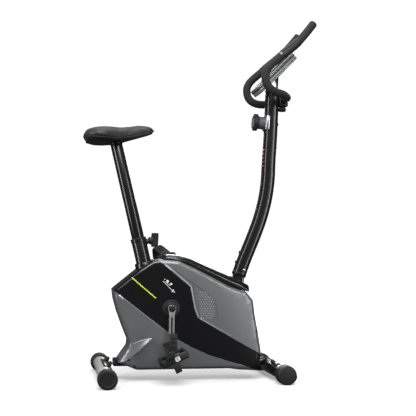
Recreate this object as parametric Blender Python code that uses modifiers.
"""Upright magnetic exercise bike: welded tube frame on two foot tubes, a two-part
housing with a belt-driven flywheel, a telescoping seat post, a mast with a tilting
handlebar and a console. Everything below is in millimetres, with X forward from the
rear foot, Y to the rider's left and Z up from the floor; place() turns it into metres
about the object's own origin, on the floor at the middle of its length."""

import math

import bmesh
import bpy
from mathutils import Matrix, Vector

MM = 0.001
GAP = 0.3                # clearance between pieces that touch
NAME = "exercise_bike"

# ---------------------------------------------------------------- driving dimensions
ORIGIN_X = 328.61        # middle of the length, from the rear foot
FOOT_Z = 32.5            # height of both foot tubes
FOOT_TUBE_R = 24.0
FOOT_CAP_R = 34.0
REAR_FOOT_HALF = 223.0
FRONT_FOOT_HALF = 188.0
FRONT_FOOT_X = 623.0

SPINE_Z0 = 48.0
SPINE_Z1 = 74.0
SPINE_HALF_Y = 25.0

SEAT_LEAN = math.radians(14.3)
SEAT_BASE = (217.8, 90.0)        # a point on the seat post's axis (x, z)
SEAT_TUBE_R = 27.0
POST_R = 22.5
SEAT_TUBE_TOP = 497.0            # heights along the lean, given as z on the axis
POST_FOOT = 330.0
POST_TOP = 838.0

CRANK = (228.0, 256.0)           # bottom bracket axis (x, z)
CRANK_LENGTH = 165.0
CRANK_Y = 86.0                   # middle of the arm's thickness
PEDAL_Y = 142.0                  # middle of the pedal
PEDAL_TILT = math.radians(24.0)  # front edge up

FLYWHEEL = (400.0, 190.0)
FLYWHEEL_R = 90.0
DRIVE_R = 110.0
DRIVEN_R = 18.0
BELT_Y = 38.0

SHELL_HALF = 70.0                # half of the housing's width
SHELL_WALL = 3.0
SKIN = 2.6                       # thickness of the grey clip-on covers

MAST_X = 48.0                    # mast section, front to back and side to side
MAST_Y = 56.0
MAST_WALL = 2.0
KNOB_Z = 942.0
BAR = (646.0, 1026.0)            # handlebar's tilt axis (x, z)
BAR_R = 11.0
GRIP_R = 15.0

CONSOLE_FOOT = (530.0, 1063.0)   # lower edge of the console's face (x, z)
CONSOLE_TILT = math.radians(46.0)
CONSOLE_LENGTH = 202.0
CONSOLE_DEEP = 24.0
FACE_THICK = 4.0

# Housing seen from the side, anticlockwise from the lower rear corner.
HOUSING = [(47, 66), (112, 40), (229, 41), (445, 41), (482, 36), (557, 32), (562, 104), (550, 172),
           (537, 234), (529, 285), (503, 315), (439, 335), (392, 358), (316, 396),
           (253, 424), (188, 428), (160, 424), (113, 391), (25, 318), (30, 285),
           (43, 239), (64, 184), (84, 137), (82, 118)]
# The two lines where the grey covers meet the black housing, rear to front.
LOWER_LINE = [(-20, 350), (25, 316), (55, 296), (130, 239), (216, 175), (249, 149),
              (309, 117), (370, 90), (445, 67), (482, 57), (520, 44), (600, 18)]
UPPER_LINE = [(176, 480), (176, 426), (293, 331), (310, 252), (323, 221), (395, 181),
              (484, 132), (533, 106), (640, 50)]
# Crest of the black top cover, rear to front, and the mast's centre line, bottom to top.
CREST = [(188, 430), (217, 446), (241, 447), (297, 435), (359, 408), (422, 383),
         (456, 369), (500, 350), (524, 333)]
MAST_LINE = [(487, 371), (507.5, 429), (537.5, 504), (564.5, 578), (584, 653), (594, 728),
             (596.5, 803), (601.5, 900), (606, 1062)]
STEM_LINE = [(532.5, 77), (528, 110), (517, 172), (506, 234), (498, 285), (488, 325),
             (487, 371), (507.5, 429), (523, 468)]
# Right half of the handlebar, from the middle of the clamp to the tip (x, y, z).
BAR_LINE = [(646, 0, 1026), (646, -40, 1026), (641, -74, 1028), (618, -104, 1033),
            (580, -124, 1038), (553, -132, 1055), (542, -134, 1088), (553, -132, 1122),
            (600, -123, 1167), (651, -112, 1211), (679, -104, 1238), (707, -96, 1271),
            (732, -89, 1303)]
GRIP_FROM = 2
# Saddle from rear to nose: x, half width, underside z, top z.
SADDLE = [(-92, 44, 857, 870), (-80, 78, 845, 885), (-52, 103, 841, 892),
          (-20, 104, 841, 894), (12, 82, 842, 895), (42, 56, 846, 895),
          (76, 38, 856, 900), (112, 31, 867, 908), (140, 28, 876, 909),
          (156, 20, 882, 905), (165, 10, 887, 898)]

BLACK = (0.012, 0.012, 0.013)


def place(x, y, z):
    return Vector(((x - ORIGIN_X) * MM, y * MM, z * MM))


# ------------------------------------------------------------------------ scene set-up
def clear_scene():
    for old in list(bpy.data.objects):
        bpy.data.objects.remove(old, do_unlink=True)
    for name in (NAME, "cutters"):
        group = bpy.data.collections.new(name)
        bpy.context.scene.collection.children.link(group)
        GROUPS[name] = group


GROUPS = {}


def material(name, colour, roughness, metallic=0.0):
    made = bpy.data.materials.get(name)
    if made:
        return made
    made = bpy.data.materials.new(name)
    made.use_nodes = True
    shader = made.node_tree.nodes["Principled BSDF"]
    shader.inputs["Base Color"].default_value = (*colour, 1.0)
    shader.inputs["Roughness"].default_value = roughness
    shader.inputs["Metallic"].default_value = metallic
    made.diffuse_color = (*colour, 1.0)
    return made


def finish_of(kind):
    return {
        "frame_black": lambda: material("frame_black", BLACK, 0.25),
        "housing_black": lambda: material("housing_black", BLACK, 0.15),
        "cover_grey": lambda: material("cover_grey", (0.16, 0.16, 0.17), 0.35, 0.4),
        "foot_silver": lambda: material("foot_silver", (0.46, 0.46, 0.45), 0.35, 0.7),
        "dark_plastic": lambda: material("dark_plastic", (0.03, 0.03, 0.03), 0.5),
        "foam": lambda: material("foam", (0.02, 0.02, 0.02), 0.85),
        "saddle_vinyl": lambda: material("saddle_vinyl", (0.025, 0.025, 0.026), 0.5),
        "chrome": lambda: material("chrome", (0.7, 0.7, 0.7), 0.15, 1.0),
        "zinc": lambda: material("zinc", (0.5, 0.5, 0.5), 0.35, 1.0),
        "iron": lambda: material("iron", (0.15, 0.15, 0.15), 0.5, 0.8),
        "rubber": lambda: material("rubber", (0.02, 0.02, 0.02), 0.7),
        "console_silver": lambda: material("console_silver", (0.6, 0.61, 0.62), 0.3, 0.3),
        "console_grey": lambda: material("console_grey", (0.2, 0.2, 0.21), 0.4),
    }[kind]()


def keep(obj, kind, joint=None):
    """Files a finished piece, with its finish, and hangs it from its joint's empty."""
    GROUPS[NAME].objects.link(obj)
    obj.data.materials.clear()
    obj.data.materials.append(finish_of(kind))
    if joint:
        obj.parent = joint
        obj.matrix_parent_inverse = joint.matrix_world.inverted()
    return obj


def cutter(obj):
    GROUPS["cutters"].objects.link(obj)
    obj.hide_render = True
    obj.display_type = "WIRE"
    return obj


def joint_empty(name, x, y, z):
    empty = bpy.data.objects.new(name, None)
    empty.location = place(x, y, z)
    empty.empty_display_size = 0.03
    GROUPS[NAME].objects.link(empty)
    bpy.context.view_layer.update()
    return empty


# -------------------------------------------------------------------- shape functions
def mesh_object(name, bm):
    bmesh.ops.recalc_face_normals(bm, faces=bm.faces)
    mesh = bpy.data.meshes.new(name)
    bm.to_mesh(mesh)
    bm.free()
    return bpy.data.objects.new(name, mesh)


def box(name, low, high, bevel=0.0, segments=2):
    """A block between two corners, its edges rounded when bevel is given."""
    bm = bmesh.new()
    a, b = place(*low), place(*high)
    bmesh.ops.create_cube(bm, size=1.0, matrix=Matrix.Translation((a + b) / 2)
                          @ Matrix.Diagonal((*(b - a), 1.0)))
    obj = mesh_object(name, bm)
    if bevel:
        soften(obj, bevel, segments)
    return obj


def soften(obj, width, segments=2):
    rounded = obj.modifiers.new("rounded", "BEVEL")
    rounded.width = width * MM
    rounded.segments = segments
    rounded.limit_method = "ANGLE"
    rounded.angle_limit = math.radians(40)
    return obj


def facing(direction):
    """The turn that takes local Z to this direction."""
    return Vector((0, 0, 1)).rotation_difference(Vector(direction).normalized())


def turned(name, profile, centre, direction, steps=24):
    """A profile of (radius, height) points, outer side from top to bottom, turned about
    an axis through centre. A profile whose ends are off the axis is closed on itself."""
    bm = bmesh.new()
    points = [bm.verts.new((r * MM, 0, h * MM)) for r, h in profile]
    for a, b in zip(points, points[1:]):
        bm.edges.new((a, b))
    if profile[0][0] > 0:
        bm.edges.new((points[-1], points[0]))
    mesh = bpy.data.meshes.new(name)
    bm.to_mesh(mesh)
    bm.free()
    obj = bpy.data.objects.new(name, mesh)
    obj.matrix_world = Matrix.Translation(place(*centre)) @ facing(direction).to_matrix().to_4x4()
    screw = obj.modifiers.new("turned", "SCREW")
    screw.steps = steps
    screw.render_steps = steps
    screw.use_merge_vertices = True
    screw.merge_threshold = 0.00001
    return obj


def pipe(name, outer, inner, start, end, centre, direction, steps=24):
    """A straight hollow tube between two distances along its axis."""
    profile = [(outer, end), (outer, start), (inner, start), (inner, end)]
    return turned(name, profile, centre, direction, steps)


def rod(name, radius, start, end, centre, direction, steps=16):
    profile = [(0, end), (radius, end), (radius, start), (0, start)]
    return turned(name, profile, centre, direction, steps)


def smooth_line(points, per_span):
    """Catmull-Rom curve through the points, per_span steps to a span."""
    points = [Vector(p) for p in points]
    ends = [2 * points[0] - points[1], *points, 2 * points[-1] - points[-2]]
    line = []
    for i in range(1, len(ends) - 2):
        a, b, c, d = ends[i - 1:i + 3]
        for k in range(per_span):
            t = k / per_span
            line.append(0.5 * (2 * b + (c - a) * t + (2 * a - 5 * b + 4 * c - d) * t * t
                               + (3 * b - a - 3 * c + d) * t ** 3))
    return line + [points[-1]]


def to_mesh(curve_object):
    """The curve object made a mesh object with its caps welded."""
    bpy.context.scene.collection.objects.link(curve_object)
    bpy.context.view_layer.update()
    evaluated = curve_object.evaluated_get(bpy.context.evaluated_depsgraph_get())
    mesh = bpy.data.meshes.new_from_object(evaluated)
    bm = bmesh.new()
    bm.from_mesh(mesh)
    bmesh.ops.remove_doubles(bm, verts=bm.verts, dist=0.00001)
    bm.to_mesh(mesh)
    bm.free()
    obj = bpy.data.objects.new(curve_object.name + "_mesh", mesh)
    obj.matrix_world = curve_object.matrix_world
    name = curve_object.name
    bpy.data.objects.remove(curve_object)
    obj.name = name
    return obj


def round_bar(name, points, radius, resolution=3):
    """A bent round bar along points (x, y, z)."""
    curve = bpy.data.curves.new(name, "CURVE")
    curve.dimensions = "3D"
    curve.bevel_depth = radius * MM
    curve.bevel_resolution = resolution
    curve.use_fill_caps = True
    spline = curve.splines.new("POLY")
    spline.points.add(len(points) - 1)
    for spot, p in zip(spline.points, points):
        spot.co = (*place(*p), 1.0)
    return to_mesh(bpy.data.objects.new(name, curve))


def rounded_rectangle(half_x, half_y, radius, arc=2):
    """Corner by corner, anticlockwise."""
    corners = ((1, 1, 0), (-1, 1, 90), (-1, -1, 180), (1, -1, 270))
    points = []
    for sx, sy, start in corners:
        for k in range(arc + 1):
            turn = math.radians(start + 90 * k / arc)
            points.append((sx * (half_x - radius) + radius * math.cos(turn),
                           sy * (half_y - radius) + radius * math.sin(turn)))
    return points


def swept(name, line, section):
    """A section of (in-plane, sideways) points drawn along a line of (x, z) points in the
    middle plane, each ring square to the line: a loft, because a curve can't hold the
    section's flat side level through an upright bend."""
    bm = bmesh.new()
    rings = []
    for i, (x, z) in enumerate(line):
        before, after = line[max(i - 1, 0)], line[min(i + 1, len(line) - 1)]
        along = Vector((after[0] - before[0], after[1] - before[1])).normalized()
        rings.append([bm.verts.new(place(x + u * along.y, v, z - u * along.x))
                      for u, v in section])
    count = len(section)
    for low, high in zip(rings, rings[1:]):
        for k in range(count):
            bm.faces.new((low[k], low[(k + 1) % count], high[(k + 1) % count], high[k]))
    bm.faces.new(rings[0])
    bm.faces.new(rings[-1])
    return mesh_object(name, bm)


def slab(name, outline, low, high, axis="Y"):
    """A flat outline given depth: of (x, z) points along Y, or of (x, y) points along Z."""
    bm = bmesh.new()
    if axis == "Y":
        ring = [bm.verts.new(place(x, low, z)) for x, z in outline]
        step = Vector((0, (high - low) * MM, 0))
    else:
        ring = [bm.verts.new(place(x, y, low)) for x, y in outline]
        step = Vector((0, 0, (high - low) * MM))
    face = bm.faces.new(ring)
    grown = bmesh.ops.extrude_face_region(bm, geom=[face])["geom"]
    bmesh.ops.translate(bm, vec=step, verts=[v for v in grown if isinstance(v, bmesh.types.BMVert)])
    return mesh_object(name, bm)


def bent_plate(name, points, sideways, thickness, closed=False):
    """A strip that follows points (x, y, z), drawn out by a sideways vector and given its
    thickness on the outer side."""
    bm = bmesh.new()
    ring = [bm.verts.new(place(*p)) for p in points]
    edges = [bm.edges.new(pair) for pair in zip(ring, ring[1:])]
    if closed:
        edges.append(bm.edges.new((ring[-1], ring[0])))
    grown = bmesh.ops.extrude_edge_only(bm, edges=edges)["geom"]
    bmesh.ops.translate(bm, vec=Vector(sideways) * MM,
                        verts=[v for v in grown if isinstance(v, bmesh.types.BMVert)])
    mesh = bpy.data.meshes.new(name)
    bm.to_mesh(mesh)
    bm.free()
    obj = bpy.data.objects.new(name, mesh)
    wall = obj.modifiers.new("wall", "SOLIDIFY")
    wall.thickness = thickness * MM
    wall.offset = 0.0
    wall.use_even_offset = True
    return obj


def loft(name, rings):
    """A skin over cross-sections of (x, y, z) points, closed at both ends."""
    bm = bmesh.new()
    rings = [[bm.verts.new(place(*p)) for p in ring] for ring in rings]
    count = len(rings[0])
    for a, b in zip(rings, rings[1:]):
        for k in range(count):
            bm.faces.new((a[k], a[(k + 1) % count], b[(k + 1) % count], b[k]))
    bm.faces.new(rings[0])
    bm.faces.new(rings[-1])
    return mesh_object(name, bm)


def combine(obj, other, operation="DIFFERENCE"):
    cut = obj.modifiers.new(operation.lower() + "_" + other.name, "BOOLEAN")
    cut.operation = operation
    cut.object = other
    cut.solver = "EXACT"
    return obj


def inset(outline, distance):
    """The anticlockwise outline moved inwards, square to each side."""
    count = len(outline)
    moved = []
    for i in range(count):
        here = Vector(outline[i])
        before = (here - Vector(outline[i - 1])).normalized()
        after = (Vector(outline[(i + 1) % count]) - here).normalized()
        middle = (Vector((-before.y, before.x)) + Vector((-after.y, after.x))).normalized()
        reach = distance / max(middle.dot(Vector((-before.y, before.x))), 0.4)
        moved.append(tuple(here + middle * reach))
    return moved


def turn_about_y(obj, x, z, angle):
    pivot = Matrix.Translation(place(x, 0, z))
    obj.matrix_world = pivot @ Matrix.Rotation(angle, 4, "Y") @ pivot.inverted() @ obj.matrix_world
    return obj


# -------------------------------------------------------------------------- seat axis
SEAT_UP = (-math.sin(SEAT_LEAN), 0, math.cos(SEAT_LEAN))
SEAT_OUT = (math.cos(SEAT_LEAN), 0, math.sin(SEAT_LEAN))


def seat_reach(z):
    """Distance along the seat axis from its base to a height."""
    return (z - SEAT_BASE[1]) / math.cos(SEAT_LEAN)


def seat_point(z):
    return (SEAT_BASE[0] - math.tan(SEAT_LEAN) * (z - SEAT_BASE[1]), 0, z)


SEAT_CENTRE = (SEAT_BASE[0], 0, SEAT_BASE[1])


# ------------------------------------------------------------------------------- feet
def foot_bolt(name, x, y, up_x):
    """Carriage bolt through the foot tube and its bracket, with a domed nut on top."""
    direction = (0.5 * up_x, 0, math.sqrt(0.75))
    profile = [(0, 45), (4, 44), (7, 40), (7.8, 36), (7.8, 31.8), (9.5, 31.6), (9.5, 29.8),
               (4, 29.8), (4, -24.6), (9, -24.6), (8, -27.2), (0, -27.8)]
    keep(turned(name, profile, (x, y, FOOT_Z), direction, 12), "zinc")
    return cutter(rod("hole_" + name, 4.4, -60, 60, (x, y, FOOT_Z), direction, 12))


def foot_bracket(name, x, towards):
    """Curved plate welded to the spine's end, cupped over a third of the foot tube."""
    radius = FOOT_TUBE_R + 0.4 + 2.2
    turns = [math.radians(100 - 115 * k / 6) for k in range(7)]
    points = [(x + towards * radius * math.cos(t), -80, FOOT_Z + radius * math.sin(t))
              for t in turns]
    return keep(bent_plate(name, points, (0, 160, 0), 4.2), "frame_black")


def rear_foot():
    half = REAR_FOOT_HALF
    bracket = foot_bracket("rear_foot_bracket", 0, 1)
    tube = keep(pipe("rear_foot_tube", FOOT_TUBE_R, FOOT_TUBE_R - 2.4, -half + 9, half - 9,
                     (0, 0, FOOT_Z), (0, 1, 0)), "foot_silver")
    for side, y in (("right", -60), ("left", 60)):
        hole = foot_bolt("rear_bolt_" + side, 0, y, 1)
        combine(bracket, hole)
        combine(tube, hole)
    sole = cutter(box("sole_rear", (-60, -300, -60), (60, 300, 0)))
    for side, way in (("right", -1), ("left", 1)):
        profile = [(0, half), (FOOT_CAP_R - 4, half), (FOOT_CAP_R, half - 4),
                   (FOOT_CAP_R, half - 36), (FOOT_CAP_R - 4, half - 40),
                   (FOOT_TUBE_R + GAP, half - 40), (FOOT_TUBE_R + GAP, half - 8.5),
                   (0, half - 8.5)]
        cap = turned("rear_cap_" + side, profile, (0, 0, FOOT_Z), (0, way, 0), 24)
        keep(combine(cap, sole), "dark_plastic")


def front_foot():
    half, x = FRONT_FOOT_HALF, FRONT_FOOT_X
    bracket = foot_bracket("front_foot_bracket", x, -1)
    tube = keep(pipe("front_foot_tube", FOOT_TUBE_R, FOOT_TUBE_R - 2.4, -half + 31, half - 31,
                     (x, 0, FOOT_Z), (0, 1, 0)), "foot_silver")
    for side, y in (("right", -60), ("left", 60)):
        hole = foot_bolt("front_bolt_" + side, x, y, -1)
        combine(bracket, hole)
        combine(tube, hole)
    sole = cutter(box("sole_front", (x - 60, -300, -60), (x + 60, 300, 0)))
    for side, way in (("right", -1), ("left", 1)):
        profile = [(0, half), (FOOT_CAP_R - 4, half), (FOOT_CAP_R, half - 4),
                   (FOOT_CAP_R, half - 41), (FOOT_CAP_R - 4, half - 45),
                   (FOOT_TUBE_R + GAP, half - 45), (FOOT_TUBE_R + GAP, half - 30.5),
                   (0, half - 30.5)]
        cap = turned("front_cap_" + side, profile, (x, 0, FOOT_Z), (0, way, 0), 24)
        near, far = sorted((way * (half - 10), way * (half - 28)))
        slot = cutter(box("wheel_slot_" + side, (x - 4, near, 3), (x + 60, far, 52)))
        combine(cap, sole)
        keep(combine(cap, slot), "dark_plastic")
        wheel_joint = joint_empty(f"transport_wheel_{side}_joint", x + 18, way * (half - 19), 27)
        profile = [(0, 8), (18, 8), (20.5, 6), (20.5, -6), (18, -8), (0, -8)]
        keep(turned("transport_wheel_" + side, profile, (x + 18, way * (half - 19), 27),
                    (0, 1, 0), 24), "rubber", wheel_joint)


# ------------------------------------------------------------------------------ frame
def base_spine():
    reach = FOOT_TUBE_R + 7.2
    outer = box("base_spine", (reach, -SPINE_HALF_Y, SPINE_Z0),
                (FRONT_FOOT_X - reach, SPINE_HALF_Y, SPINE_Z1), 4, 1)
    inner = cutter(box("spine_hollow", (reach - 9, -SPINE_HALF_Y + 2, SPINE_Z0 + 2),
                       (FRONT_FOOT_X, SPINE_HALF_Y - 2, SPINE_Z1 - 2), 2.5, 1))
    keep(combine(outer, inner), "frame_black")


def pin_hole():
    """Hole for the height pin, through the front of the seat tube and its bushing."""
    return cutter(rod("pin_hole", 4.6, 0, 80, seat_point(SEAT_TUBE_TOP - 14), SEAT_OUT, 12))


def seat_tube(pin):
    top = seat_reach(SEAT_TUBE_TOP)
    tube = pipe("seat_tube", SEAT_TUBE_R, SEAT_TUBE_R - 2.2, -9.5, top, SEAT_CENTRE, SEAT_UP)
    barrel = cutter(rod("knob_barrel", 9.5, SEAT_TUBE_R - 1, SEAT_TUBE_R + 9,
                        seat_point(SEAT_TUBE_TOP - 14), SEAT_OUT, 12))
    combine(tube, barrel, "UNION")
    keep(combine(tube, pin), "frame_black")
    inside = SEAT_TUBE_R - 2.2 - GAP
    profile = [(SEAT_TUBE_R + 1.5, top + 5), (SEAT_TUBE_R + 2, top + 3.5),
               (SEAT_TUBE_R + 2, top + GAP), (inside, top + GAP), (inside, top - 70),
               (POST_R + GAP, top - 70), (POST_R + GAP, top + 5)]
    bushing = turned("post_bushing", profile, SEAT_CENTRE, SEAT_UP)
    keep(combine(bushing, pin), "dark_plastic")
    low, high = seat_reach(384), seat_reach(416)
    profile = [(SEAT_TUBE_R + 4, high), (SEAT_TUBE_R + 6.5, high - 3), (SEAT_TUBE_R + 6.5, low),
               (SEAT_TUBE_R + GAP, low), (SEAT_TUBE_R + GAP, high)]
    keep(turned("seat_tube_ring", profile, SEAT_CENTRE, SEAT_UP), "housing_black")


def front_tube():
    line = [tuple(p) for p in smooth_line(STEM_LINE, 2)]
    tube = swept("front_tube", line, rounded_rectangle(19, 24, 10))
    longer = [(line[0][0], line[0][1] - 6), *line, (line[-1][0] + 3, line[-1][1] + 9)]
    hollow = cutter(swept("stem_hollow", longer, rounded_rectangle(17, 22, 8)))
    slot = cutter(box("cable_slot", (460, -8, 306), (480, 8, 344)))
    combine(tube, hollow)
    keep(combine(tube, slot), "frame_black")


def crank_bracket():
    """Bearing shell with its gusset down to the spine and the lug that carries the magnets."""
    x, z = CRANK
    shell = rod("crank_bracket", 21, -30, 30, (x, 0, z), (0, 1, 0), 24)
    gusset = cutter(slab("crank_gusset", [(x + 22, SPINE_Z1 + GAP), (x + 80, SPINE_Z1 + GAP),
                                          (x + 16, z), (x - 4, z)], -3, 3))
    lug = cutter(slab("magnet_lug", [(x, z - 9), (MAGNET_PIVOT[0] + 4, MAGNET_PIVOT[1] - 9),
                                     (MAGNET_PIVOT[0] + 8, MAGNET_PIVOT[1] + 2),
                                     (MAGNET_PIVOT[0], MAGNET_PIVOT[1] + 9),
                                     (x, z + 12)], -8, -3.5))
    pin = cutter(rod("magnet_pin", 4, -38, -5, (MAGNET_PIVOT[0], 0, MAGNET_PIVOT[1]), (0, 1, 0), 12))
    bore = cutter(rod("axle_bore", 10.4, -60, 60, (x, 0, z), (0, 1, 0), 24))
    for piece in (gusset, lug, pin):
        combine(shell, piece, "UNION")
    keep(combine(shell, bore), "frame_black")


def flywheel_fork():
    """Upright fork on the spine that holds both ends of the flywheel's axle."""
    x, z = FLYWHEEL
    outer = slab("flywheel_fork", [(x - 17, SPINE_Z1 + GAP), (x + 17, SPINE_Z1 + GAP),
                                   (x + 14, z + 16), (x - 14, z + 16)], -44, 54)
    gap_between = cutter(box("fork_gap", (x - 40, -40, SPINE_Z1 + 5), (x + 40, 50, z + 60)))
    bore = cutter(rod("fork_bore", 5.3, -80, 80, (x, 0, z), (0, 1, 0), 16))
    combine(outer, gap_between)
    keep(combine(outer, bore), "frame_black")
    profile = [(0, 60), (8, 60), (9, 58), (9, 54.4), (5, 54.4), (5, -44.4), (9, -44.4),
               (9, -48), (8, -50), (0, -50)]
    keep(turned("flywheel_axle", profile, (x, 0, z), (0, 1, 0), 16), "zinc")


# -------------------------------------------------------------------------- drivetrain
MAGNET_TURN = math.radians(122)
MAGNET_R = FLYWHEEL_R + 9
MAGNET_PIVOT = (FLYWHEEL[0] + MAGNET_R * math.cos(MAGNET_TURN),
                FLYWHEEL[1] + MAGNET_R * math.sin(MAGNET_TURN))


def drive(crank_joint):
    x, z = CRANK
    keep(rod("crank_axle", 10, -(CRANK_Y + 5), CRANK_Y + 5, (x, 0, z), (0, 1, 0), 24), "zinc",
         crank_joint)
    rim, hub = DRIVE_R, 20
    profile = [(rim - 1, 7), (rim - 3, 5), (rim - 3, -5), (rim - 1, -7), (rim - 14, -7),
               (rim - 16, -2.5), (hub, -2.5), (hub, -6.5), (10 + GAP, -6.5), (10 + GAP, 8),
               (hub, 8), (hub, 2.5), (rim - 16, 2.5), (rim - 14, 7)]
    keep(turned("drive_pulley", profile, (x, BELT_Y, z), (0, 1, 0), 32), "dark_plastic",
         crank_joint)


def flywheel_parts(flywheel_joint):
    x, z = FLYWHEEL
    rim, hub = FLYWHEEL_R, 13
    profile = [(rim, -13), (rim, -35), (rim - 20, -35), (rim - 22, -28), (hub, -28),
               (hub, -39), (5 + GAP, -39), (5 + GAP, 49), (hub, 49), (hub, 45),
               (DRIVEN_R, 45), (DRIVEN_R - 2.6, 43.4), (DRIVEN_R - 2.6, 32.6),
               (DRIVEN_R, 31), (hub, 31), (hub, -20), (rim - 22, -20), (rim - 20, -13)]
    keep(turned("flywheel", profile, (x, 0, z), (0, 1, 0), 32), "iron", flywheel_joint)


def belt():
    """Ribbed belt drawn round both pulleys, tangent to each."""
    big, small = Vector(CRANK), Vector(FLYWHEEL)
    lift = 1.8
    r1, r2 = DRIVE_R - 3 + lift, DRIVEN_R - 2.6 + lift
    between = small - big
    lean = math.atan2(between.y, between.x)
    wrap = math.acos((r1 - r2) / between.length)
    points = []
    for k in range(19):
        turn = lean + wrap + (2 * math.pi - 2 * wrap) * k / 18
        points.append((big.x + r1 * math.cos(turn), BELT_Y - 4.5, big.y + r1 * math.sin(turn)))
    for k in range(9):
        turn = lean - wrap + 2 * wrap * k / 8
        points.append((small.x + r2 * math.cos(turn), BELT_Y - 4.5, small.y + r2 * math.sin(turn)))
    keep(bent_plate("drive_belt", points, (0, 9, 0), 1.8, closed=True), "rubber")


def magnet_arm(magnet_joint):
    """Curved arm over the flywheel's rim that carries the brake magnets."""
    fx, fz = FLYWHEEL
    inner, outer = FLYWHEEL_R + 3, FLYWHEEL_R + 14
    turns = [math.radians(50 + 68 * k / 8) for k in range(9)]
    outline = [(fx + inner * math.cos(t), fz + inner * math.sin(t)) for t in turns]
    outline += [(fx + outer * math.cos(t), fz + outer * math.sin(t)) for t in reversed(turns)]
    arm = slab("magnet_arm", outline, -35, -13)
    eye = cutter(rod("magnet_eye", 9, -35, -13, (MAGNET_PIVOT[0], 0, MAGNET_PIVOT[1]),
                     (0, 1, 0), 16))
    bore = cutter(rod("magnet_bore", 4.4, -60, 0, (MAGNET_PIVOT[0], 0, MAGNET_PIVOT[1]),
                      (0, 1, 0), 16))
    combine(arm, eye, "UNION")
    keep(combine(arm, bore), "zinc", magnet_joint)


def tension_cable():
    route = [(597, 0, 934), (598, 0, 860), (594, 0, 728), (584, 0, 653), (564, 0, 578),
             (537, 0, 504), (507, 0, 429), (488, 0, 375), (480, 0, 338), (469, -4, 318),
             (466, -14, 302), (465, -20, 292)]
    line = [tuple(p) for p in smooth_line(route, 2)]
    keep(round_bar("tension_cable", line, 1.5, 1), "rubber")


# ------------------------------------------------------------------- cranks and pedals
def crank_arm(side, way, crank_joint):
    """Tapered arm with its pedal spindle. way is -1 on the right, where the arm hangs."""
    x, z = CRANK
    end_z = z + way * CRANK_LENGTH
    outline = []
    for k in range(9):
        turn = math.radians(180 * k / 8)
        outline.append((x + 13.5 * math.cos(turn), z - way * 13.5 * math.sin(turn)))
    outline.append((x - 9, z + way * 24))
    for k in range(9):
        turn = math.radians(180 - 180 * k / 8)
        outline.append((x + 9.5 * math.cos(turn), end_z + way * 9.5 * math.sin(turn)))
    outline.append((x + 9, z + way * 24))
    near, far = sorted((way * (CRANK_Y - 6), way * (CRANK_Y + 6)))
    arm = slab("crank_arm_" + side, outline, near, far)
    spindle = cutter(rod("spindle_" + side, 7, CRANK_Y, PEDAL_Y + 36, (x, 0, end_z),
                         (0, way, 0), 16))
    bore = cutter(rod("arm_bore_" + side, 10.4, CRANK_Y - 30, CRANK_Y + 30, (x, 0, z),
                      (0, way, 0), 24))
    low, high = sorted((z + way * 30, end_z - way * 26))
    near, far = sorted((way * (CRANK_Y + 3.5), way * (CRANK_Y + 12)))
    flute = cutter(box("flute_" + side, (x - 3.5, near, low), (x + 3.5, far, high)))
    combine(arm, spindle, "UNION")
    combine(arm, bore)
    keep(combine(arm, flute), "chrome", crank_joint)


def pedal(side, way, pedal_joint):
    x, z = CRANK[0], CRANK[1] + way * CRANK_LENGTH
    inner, outer = way * (PEDAL_Y - 42), way * (PEDAL_Y + 42)
    low, high = sorted((inner, outer))
    body = box("pedal_" + side, (x - 48, low, z - 13), (x + 48, high, z + 13), 5, 2)
    for k, mid in enumerate((-30, 30)):
        window = cutter(box(f"pedal_window_{side}_{k}", (x + mid - 9, low + 12, z - 40),
                            (x + mid + 9, high - 12, z + 40)))
        combine(body, turn_about_y(window, x, z, -PEDAL_TILT))
    bore = cutter(rod("pedal_bore_" + side, 7.4, PEDAL_Y - 60, PEDAL_Y + 37, (x, 0, z),
                      (0, way, 0), 16))
    combine(body, bore)
    keep(turn_about_y(body, x, z, -PEDAL_TILT), "dark_plastic", pedal_joint)
    reach = 47.0
    arch = [(-reach, 10), (-reach - 1, 22), (-reach + 4, 38), (-reach + 20, 52),
            (0, 57), (reach - 20, 52), (reach - 4, 38), (reach + 1, 22), (reach, 10)]
    points = [(x - 26, way * PEDAL_Y + y, z + up) for y, up in arch]
    strap = bent_plate("pedal_strap_" + side, points, (46, 0, 0), 3.0)
    keep(turn_about_y(strap, x, z, -PEDAL_TILT), "rubber", pedal_joint)


# ---------------------------------------------------------------------------- housing
def dish(name, distance, way):
    """One side of the housing as a solid, moved in by distance on every side."""
    outline = inset(HOUSING, distance)
    deep = way * (SHELL_HALF - distance)
    solid = slab(name, outline, -way * 4, deep)
    bm = bmesh.new()
    bm.from_mesh(solid.data)
    rim = [e for e in bm.edges if all(abs(v.co.y - deep * MM) < 1e-6 for v in e.verts)]
    bmesh.ops.bevel(bm, geom=rim, offset=(13 - distance) * MM, segments=3, profile=0.5,
                    affect="EDGES", clamp_overlap=True)
    bm.to_mesh(solid.data)
    bm.free()
    return solid


def prism(name, outline, way):
    return cutter(slab(name, outline, way * -10, way * (SHELL_HALF + 20)))


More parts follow.
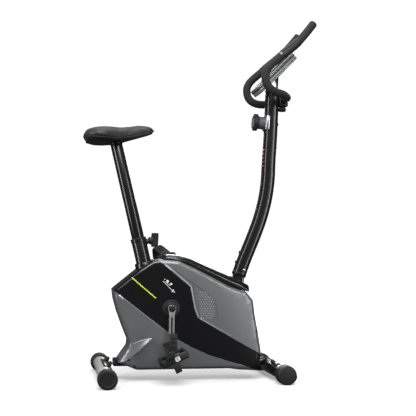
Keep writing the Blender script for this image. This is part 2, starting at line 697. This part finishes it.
def housing(side, way):
    """Black shell with the two grey covers let into it."""
    swoosh_line = UPPER_LINE + [(640, 18)] + LOWER_LINE[::-1]
    below = [(x - 0.35, z - 0.35) for x, z in LOWER_LINE] + [(600, -30), (-60, -30), (-60, 350)]
    above = [(x + 0.35, z + 0.35) for x, z in UPPER_LINE] + [(640, 520), (176.4, 520)]
    middle_cut = cutter(box("middle_" + side, (-100, 0, -100), (800, 12, 700)))
    middle_cut.matrix_world = Matrix.Translation((0, (-GAP / 2 if way < 0 else -12 + GAP / 2) * MM, 0))
    full = cutter(dish("full_" + side, 0, way))
    combine(full, prism("swoosh_" + side, swoosh_line + [(-20, 480)], way), "INTERSECT")
    shell = dish(side + "_shell", SKIN + GAP, way)
    combine(shell, full, "UNION")
    for tool in (cutter(dish("hollow_" + side, SKIN + GAP + SHELL_WALL, way)), middle_cut,
                 *HOUSING_HOLES):
        combine(shell, tool)
    keep(shell, "housing_black")
    under = cutter(dish("under_" + side, SKIN, way))
    for place_name, outline in (("rear", below), ("front", above)):
        cover = dish(f"{side}_{place_name}_cover", 0, way)
        combine(cover, prism(f"{place_name}_region_{side}", outline, way), "INTERSECT")
        for tool in (under, middle_cut, *HOUSING_HOLES):
            combine(cover, tool)
        keep(cover, "cover_grey")


HOUSING_HOLES = []


def make_housing_holes():
    HOUSING_HOLES.extend([
        cutter(rod("seat_ring_hole", SEAT_TUBE_R + 6.8, 240, 420, SEAT_CENTRE, SEAT_UP, 24)),
        cutter(rod("crank_hole", 22, -120, 120, (CRANK[0], 0, CRANK[1]), (0, 1, 0), 24)),
        cutter(box("spine_hole_rear", (-60, -25.6, SPINE_Z0 - 0.6), (140, 25.6, SPINE_Z1 + 0.6))),
        cutter(box("spine_hole_front", (500, -25.6, SPINE_Z0 - 0.6), (660, 25.6, SPINE_Z1 + 0.6))),
        cutter(box("stem_hole", (460, -26, 290), (524, 26, 420))),
    ])


def height_on(line, x):
    """Height of a (x, z) line, which runs either way along X, at x."""
    line = sorted(line)
    for (x0, z0), (x1, z1) in zip(line, line[1:]):
        if x <= x1:
            return z0 + (z1 - z0) * (x - x0) / (x1 - x0)
    return line[-1][1]


def lid(name, wall):
    """The crowned lid as a solid, moved in by wall at its sides, ends and crest."""
    base = [(503, 315), (439, 335), (392, 358), (316, 396), (253, 424), (190, 428)]
    arch = [(-1, 0), (-1, 0.4), (-0.9, 0.74), (-0.68, 0.92), (-0.35, 1), (0.35, 1),
            (0.68, 0.92), (0.9, 0.74), (1, 0.4), (1, 0)]
    half = SHELL_HALF - 5 - wall
    rings = []
    for x in (196 + wall, 217, 253, 297, 345, 392, 439, 478, 512 - wall):
        low = height_on(base, x) + 0.5 - 2 * wall
        high = height_on(CREST, x) - wall
        rings.append([(x, y * half, low + (high - low) * lift) for y, lift in arch])
    return loft(name, rings)


def top_cover():
    """Crowned lid between the side shells, open below, with a hole for the stem."""
    cover = lid("top_cover", 0)
    combine(cover, cutter(lid("lid_hollow", 3)))
    combine(cover, cutter(box("lid_stem_hole", (461, -25.5, 280), (533, 25.5, 420))))
    keep(combine(cover, HOUSING_HOLES[0]), "housing_black")


# -------------------------------------------------------------------------------- seat
def seat_post(seat_joint):
    foot, top = seat_reach(POST_FOOT), seat_reach(POST_TOP)
    post = pipe("seat_post", POST_R, POST_R - 2, foot, top, SEAT_CENTRE, SEAT_UP)
    pitch = 28
    for k in range(5):
        hole = cutter(rod(f"height_hole_{k}", 4.6, 10, 40,
                          seat_point(SEAT_TUBE_TOP - 14 - pitch * (k - 1) * math.cos(SEAT_LEAN)),
                          SEAT_OUT, 8))
        combine(post, hole)
    keep(post, "frame_black", seat_joint)
    grip = seat_point(SEAT_TUBE_TOP - 14)
    knob_joint = joint_empty("seat_knob_joint", *grip)
    profile = [(0, 62), (7, 61), (12, 57), (14, 52), (14, 46), (12, 41), (8, 38), (8, 36.4),
               (4, 36.4), (4, POST_R + GAP), (0, POST_R + GAP)]
    keep(turned("seat_knob", profile, grip, SEAT_OUT, 16), "dark_plastic", knob_joint)


def saddle(seat_joint):
    """Clamp head on the post, a moulded pan and the cushion, as lofts along the saddle."""
    top = seat_reach(POST_TOP)
    clamp = rod("saddle_clamp", 21.5, top + GAP, top + 16, SEAT_CENTRE, SEAT_UP, 24)
    under = [(row[0], row[2] - GAP) for row in SADDLE[1:7]]
    above = cutter(slab("above_clamp", under + [(under[-1][0], 930), (under[0][0], 930)], -60, 60))
    keep(combine(clamp, above), "zinc", seat_joint)

    def sections(rows, shape):
        return [[(x, y * half, low + (high - low) * lift) for y, lift in shape]
                for x, half, low, high in rows]

    dome = [(-0.88, 0.0), (-1.0, 0.3), (-0.97, 0.62), (-0.78, 0.9), (-0.45, 1.0), (0.0, 0.95),
            (0.45, 1.0), (0.78, 0.9), (0.97, 0.62), (1.0, 0.3), (0.88, 0.0)]
    rows = [(x, half, low + 8.3, high) for x, half, low, high in SADDLE]
    cushion = loft("saddle_cushion", sections(rows, dome))
    keep(cushion, "saddle_vinyl", seat_joint)
    tray = [(-0.8, 0.0), (-0.88, 1.0), (0.88, 1.0), (0.8, 0.0)]
    rows = [(x, half, low, low + 8) for x, half, low, high in SADDLE[1:-1]]
    pan = loft("saddle_pan", sections(rows, tray))
    keep(pan, "dark_plastic", seat_joint)


# -------------------------------------------------------------------- mast and handlebar
def mast():
    line = [tuple(p) for p in smooth_line(MAST_LINE, 2)]
    tube = swept("mast", line, rounded_rectangle(MAST_X / 2, MAST_Y / 2, 12))
    longer = [(line[0][0] - 3, line[0][1] - 9), *line, (line[-1][0], line[-1][1] + 9)]
    hollow = cutter(swept("mast_hollow", longer,
                          rounded_rectangle(MAST_X / 2 - MAST_WALL, MAST_Y / 2 - MAST_WALL, 10)))
    keep(combine(tube, hollow), "frame_black")


KNOB_LEAN = math.radians(3)
KNOB_OUT = (-math.cos(KNOB_LEAN), 0, math.sin(KNOB_LEAN))
KNOB_FOOT = (577.2, 0, KNOB_Z)


def tension_knob():
    profile = [(22, 25), (22, 17), (24, 6), (25.5, 0.6), (0, 0.6)]
    collar = turned("tension_collar", [(0, 25), *profile], KNOB_FOOT, KNOB_OUT, 24)
    keep(collar, "console_grey")
    knob_joint = joint_empty("tension_knob_joint", *KNOB_FOOT)
    profile = [(0, 44.5), (20, 44.5), (27, 43), (31, 40), (32, 36), (31, 27), (26, 25.4), (0, 25.4)]
    knob = turned("tension_knob", profile, KNOB_FOOT, KNOB_OUT, 24)
    keep(knob, "dark_plastic", knob_joint)


def handlebar(bar_joint):
    half = smooth_line(BAR_LINE, 2)
    other = [Vector((p.x, -p.y, p.z)) for p in half]
    keep(round_bar("handlebar", [tuple(p) for p in reversed(other[1:])] + [tuple(p) for p in half],
                   BAR_R, 3), "frame_black", bar_joint)
    for side, way in (("right", 1), ("left", -1)):
        line = [(p.x, p.y * way, p.z) for p in half]
        path = line[GRIP_FROM * 2:]
        end = Vector(path[-1])
        tip = (end - Vector(path[-2])).normalized()
        sleeve = round_bar("grip_" + side, path[:-1] + [tuple(end + tip * 4), tuple(end + tip * 9)],
                           GRIP_R, 3)
        start = Vector(path[0])
        back = (start - Vector(path[1])).normalized()
        core = round_bar("grip_core_" + side, [tuple(start + back * 20)] + path[:-1]
                         + [tuple(end + tip * 1.0)], BAR_R + 0.9, 3)
        keep(combine(sleeve, cutter(core)), "foam", bar_joint)


def handlebar_clamp():
    x, z = BAR
    clamp = box("handlebar_clamp", (x - 15.4, -20, z - 19), (x + 19, 20, z + 19), 5, 2)
    bore = cutter(rod("bar_bore", BAR_R + 0.6, -60, 60, (x, 0, z), (0, 1, 0), 24))
    keep(combine(clamp, bore), "dark_plastic")
    knob_joint = joint_empty("clamp_knob_joint", x, 0, z - 19)
    profile = [(0, -0.6), (8, -0.6), (8, -3), (14, -4), (16, -7), (16, -14), (13, -17), (0, -17)]
    keep(turned("clamp_knob", profile, (x, 0, z - 19), (0, 0, 1), 16), "dark_plastic",
         knob_joint)


# ----------------------------------------------------------------------------- console
CONSOLE_UP = Vector((math.cos(CONSOLE_TILT), 0, math.sin(CONSOLE_TILT)))
CONSOLE_OUT = Vector((-math.sin(CONSOLE_TILT), 0, math.cos(CONSOLE_TILT)))
BUTTONS = ((38, -30), (38, 0), (38, 30))     # up the face, across
BUTTON_R = 7.0


def console_point(up, y, out):
    """A point given up the face from its lower edge, across, and out from the face."""
    spot = Vector((CONSOLE_FOOT[0], 0, CONSOLE_FOOT[1])) + CONSOLE_UP * up + CONSOLE_OUT * out
    return (spot.x, y, spot.z)


def console_plate(name, margin, low, high):
    """The console's shield outline, drawn in by margin, between two heights off the face."""
    half = [(0, 34), (8, 50), (60, 68), (130, 76), (170, 74), (192, 64), (CONSOLE_LENGTH, 44)]
    outline = inset([(y, up) for up, y in half] + [(-y, up) for up, y in reversed(half)], margin)
    bm = bmesh.new()
    face = bm.faces.new([bm.verts.new(place(*console_point(up, y, low))) for y, up in outline])
    grown = bmesh.ops.extrude_face_region(bm, geom=[face])["geom"]
    bmesh.ops.translate(bm, vec=CONSOLE_OUT * (high - low) * MM,
                        verts=[v for v in grown if isinstance(v, bmesh.types.BMVert)])
    return mesh_object(name, bm)


def console():
    housing_back = console_plate("console_housing", 1.5, -FACE_THICK - CONSOLE_DEEP, -FACE_THICK - GAP)
    soften(housing_back, 3, 2)
    pocket = cutter(console_plate("console_hollow", 5, -FACE_THICK - CONSOLE_DEEP + 3, 5))
    keep(combine(housing_back, pocket), "console_grey")
    face = console_plate("console_face", 0, -FACE_THICK, 0)
    for k, (up, y) in enumerate(BUTTONS):
        centre = console_point(up, y, 0)
        hole = cutter(rod(f"button_hole_{k}", BUTTON_R + 0.4, -20, 20, centre, CONSOLE_OUT, 20))
        combine(face, hole)
        button_joint = joint_empty(f"console_button_{k + 1}_joint", *centre)
        profile = [(0, 1.8), (BUTTON_R - 1.2, 1.8), (BUTTON_R, 1.0), (BUTTON_R, -FACE_THICK - 1),
                   (0, -FACE_THICK - 1)]
        keep(turned(f"console_button_{k + 1}", profile, centre, CONSOLE_OUT, 20), "dark_plastic",
             button_joint)
    keep(face, "console_silver")
    back = -FACE_THICK - CONSOLE_DEEP - 1.9
    foot = [(581, -20, 1066), (622, -20, 1066)]
    lean = [console_point(104, -20, back), console_point(140, -20, back)]
    keep(bent_plate("console_bracket", foot + lean, (0, 40, 0), 3.0), "frame_black")


# ------------------------------------------------------------------------------- build
def build():
    clear_scene()
    crank_joint = joint_empty("crank_joint", CRANK[0], 0, CRANK[1])
    flywheel_joint = joint_empty("flywheel_joint", FLYWHEEL[0], 0, FLYWHEEL[1])
    magnet_joint = joint_empty("magnet_joint", MAGNET_PIVOT[0], 0, MAGNET_PIVOT[1])
    seat_joint = joint_empty("seat_joint", *seat_point(SEAT_TUBE_TOP))
    bar_joint = joint_empty("handlebar_joint", BAR[0], 0, BAR[1])
    rear_foot()
    front_foot()
    base_spine()
    seat_tube(pin_hole())
    front_tube()
    crank_bracket()
    flywheel_fork()
    drive(crank_joint)
    flywheel_parts(flywheel_joint)
    belt()
    magnet_arm(magnet_joint)
    tension_cable()
    for side, way in (("right", -1), ("left", 1)):
        crank_arm(side, way, crank_joint)
        pedal_joint = joint_empty(f"pedal_{side}_joint", CRANK[0], way * PEDAL_Y,
                                  CRANK[1] + way * CRANK_LENGTH)
        pedal_joint.parent = crank_joint
        pedal_joint.matrix_parent_inverse = crank_joint.matrix_world.inverted()
        bpy.context.view_layer.update()
        pedal(side, way, pedal_joint)
    make_housing_holes()
    housing("right", -1)
    housing("left", 1)
    top_cover()
    seat_post(seat_joint)
    saddle(seat_joint)
    mast()
    tension_knob()
    handlebar(bar_joint)
    handlebar_clamp()
    console()


build()
